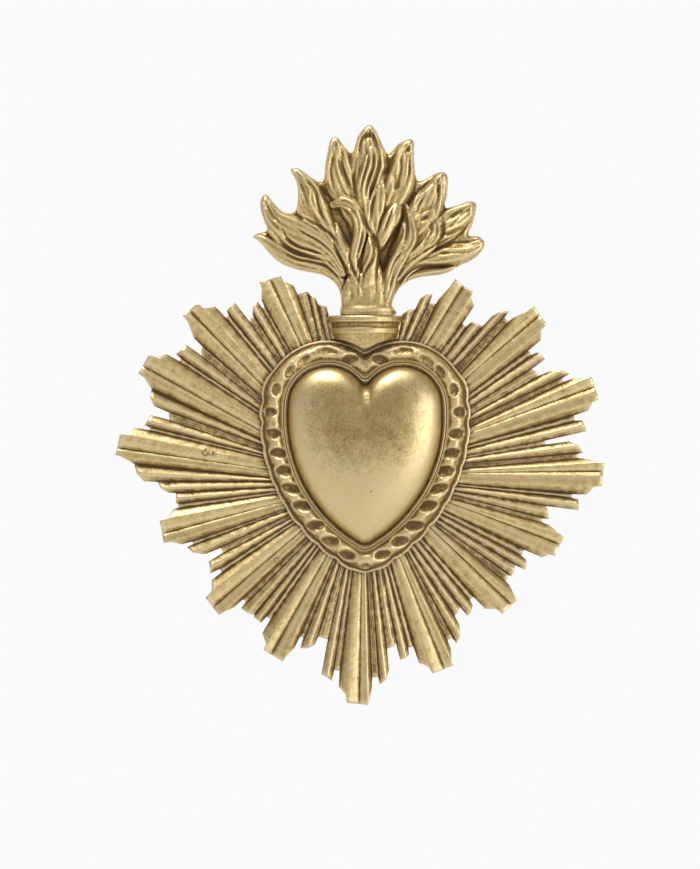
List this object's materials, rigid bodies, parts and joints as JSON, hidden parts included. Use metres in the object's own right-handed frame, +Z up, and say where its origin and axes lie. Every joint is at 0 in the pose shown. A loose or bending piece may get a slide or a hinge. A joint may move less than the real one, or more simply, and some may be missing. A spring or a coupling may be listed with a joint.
{
  "type": "milagro charm",
  "caption": "Brass sacred heart ex-voto for a wall: a puffed heart in a gadrooned frame on a fluted sunburst plate, with a collar, a flame crest and a hanging loop behind.",
  "frame": {"origin": "on the wall, at the flat floor of the back pan, behind the point that the rays run out from", "axes": "+Z up along the heart to the flames, +Y back into the wall, so the front faces -Y, and +X to the right as seen from the front"},
  "size_m": [0.0975, 0.0107, 0.1156],
  "materials": {
    "gilt_brass": "satin, brown patina in the hollows, worn bright on the edges",
    "satin_brass": "satin, lightly brushed, with a brown haze",
    "plain_brass": "dull, tarnished sheet",
    "rivet_brass": "dull, hammered heads",
    "wire_brass": "drawn wire, worn bright"
  },
  "bodies": {
    "ornament": {"ray_plate": "gilt_brass", "flame_crest": "gilt_brass", "collar_cup": "gilt_brass", "scalloped_frame": "gilt_brass", "bezel_wire": "gilt_brass", "heart_dome": "satin_brass", "back_pan": "plain_brass", "pan_rivets": "rivet_brass", "neck_rivets": "rivet_brass", "hanger_strap": "plain_brass"},
    "loop": {"hanger_loop": "wire_brass"}
  },
  "joints": [
    {"name": "loop_swing", "type": "hinge", "parent": "ornament", "child": "loop", "pos_m": [0, -0.00214, 0.0306], "axis": [-1, 0, 0], "range_deg": [0, 183]}
  ]
}
